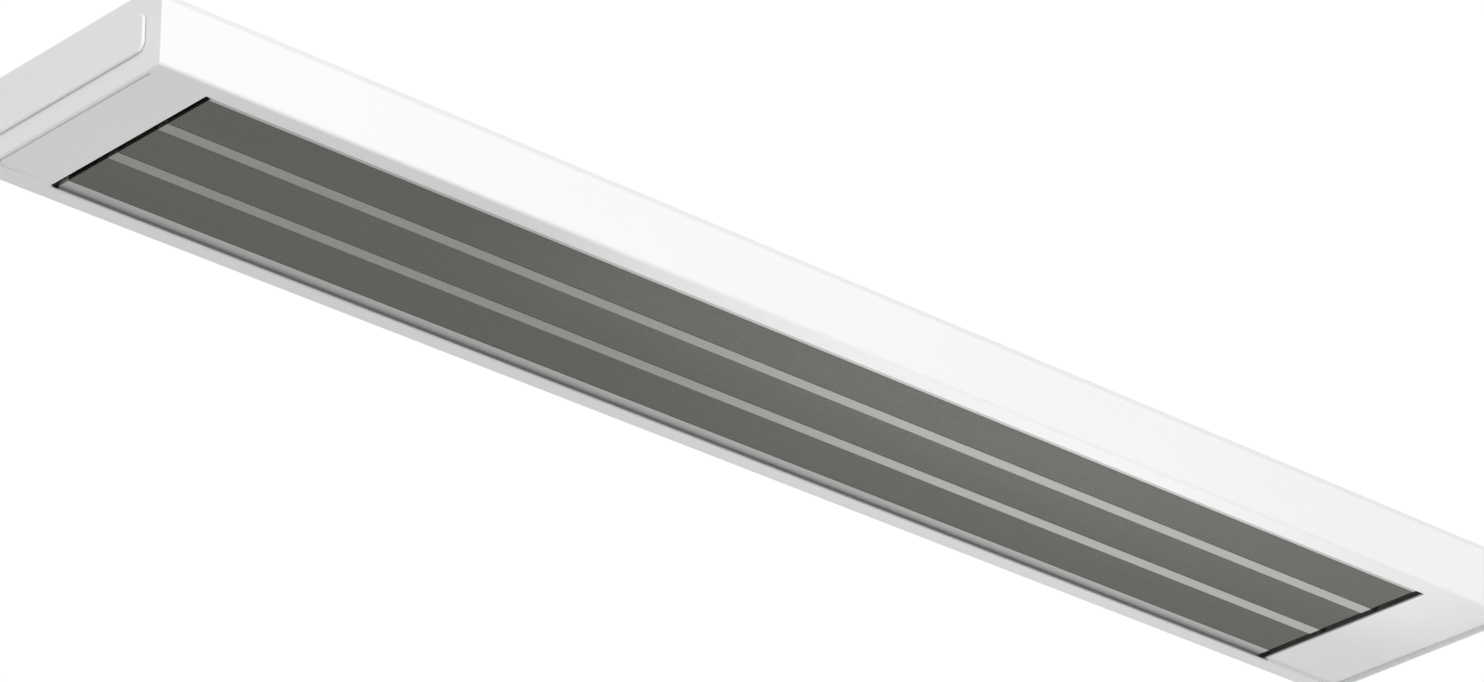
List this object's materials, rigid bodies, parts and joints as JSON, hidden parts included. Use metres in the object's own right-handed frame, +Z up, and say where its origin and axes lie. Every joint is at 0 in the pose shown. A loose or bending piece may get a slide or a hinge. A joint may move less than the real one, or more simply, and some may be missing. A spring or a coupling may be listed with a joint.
{
  "type": "radiant strip heater",
  "caption": "Long flat ceiling heater: folded white casing, open below to a dark radiant panel with lighter bands, hung from brackets that slide on a back rail.",
  "frame": {"origin": "middle of the ceiling plane, between the two brackets' upper faces", "axes": "+X along the heater towards the connection end, +Z up to the ceiling, the radiant panel faces -Z"},
  "size_m": [1, 0.15, 0.0565],
  "materials": {
    "white_coat": "white powder coat, fine grain",
    "panel_aluminium": "dark anodised fields, lighter smooth lands",
    "bright_aluminium": "bright rolled",
    "element_sheath": "heat-tinted stainless",
    "zinc_steel": "zinc plated",
    "baffle_steel": "dull aluminised steel",
    "terminal_metal": "plain brass",
    "ceramic": null,
    "mineral_wool": "mineral wool",
    "brown_insulation": "silicone insulation",
    "blue_insulation": "silicone insulation",
    "green_insulation": "silicone insulation",
    "black_rubber": "matt rubber"
  },
  "bodies": {
    "heater": {"casing_shell": "white_coat", "left_end_wall": "white_coat", "right_end_wall": "white_coat", "left_front_plate": "white_coat", "right_front_plate": "white_coat", "end_wall_screws": "zinc_steel", "radiant_panel": "panel_aluminium", "heating_element": "element_sheath", "element_bushes": "ceramic", "element_pins": "terminal_metal", "reflector_sheet": "bright_aluminium", "insulation_mat": "mineral_wool", "left_baffle": "baffle_steel", "right_bulkhead": "baffle_steel", "terminal_block": "ceramic", "terminal_block_screws": "zinc_steel", "earth_stud": "terminal_metal", "earth_nut": "terminal_metal", "earth_lug": "terminal_metal", "live_lead": "brown_insulation", "neutral_lead": "blue_insulation", "earth_lead": "green_insulation", "cable_grommet": "black_rubber", "suspension_rail": "zinc_steel", "panel_hanger_1": "zinc_steel", "panel_hanger_2": "zinc_steel", "panel_hanger_3": "zinc_steel", "panel_hanger_4": "zinc_steel"},
    "left_bracket": {"left_ceiling_bracket": "zinc_steel", "left_lock_screw": "zinc_steel"},
    "right_bracket": {"right_ceiling_bracket": "zinc_steel", "right_lock_screw": "zinc_steel"},
    "left_cover": {"left_end_cover": "white_coat"},
    "right_cover": {"right_end_cover": "white_coat"}
  },
  "joints": [
    {"name": "left_bracket_slide", "type": "slide", "parent": "heater", "child": "left_bracket", "axis": [1, 0, 0], "range_m": [-0.04, 0.2]},
    {"name": "right_bracket_slide", "type": "slide", "parent": "heater", "child": "right_bracket", "axis": [1, 0, 0], "range_m": [-0.2, 0.04]},
    {"name": "left_cover_pull", "type": "slide", "parent": "heater", "child": "left_cover", "axis": [-1, 0, 0], "range_m": [0, 0.05]},
    {"name": "right_cover_pull", "type": "slide", "parent": "heater", "child": "right_cover", "axis": [1, 0, 0], "range_m": [0, 0.05]}
  ]
}
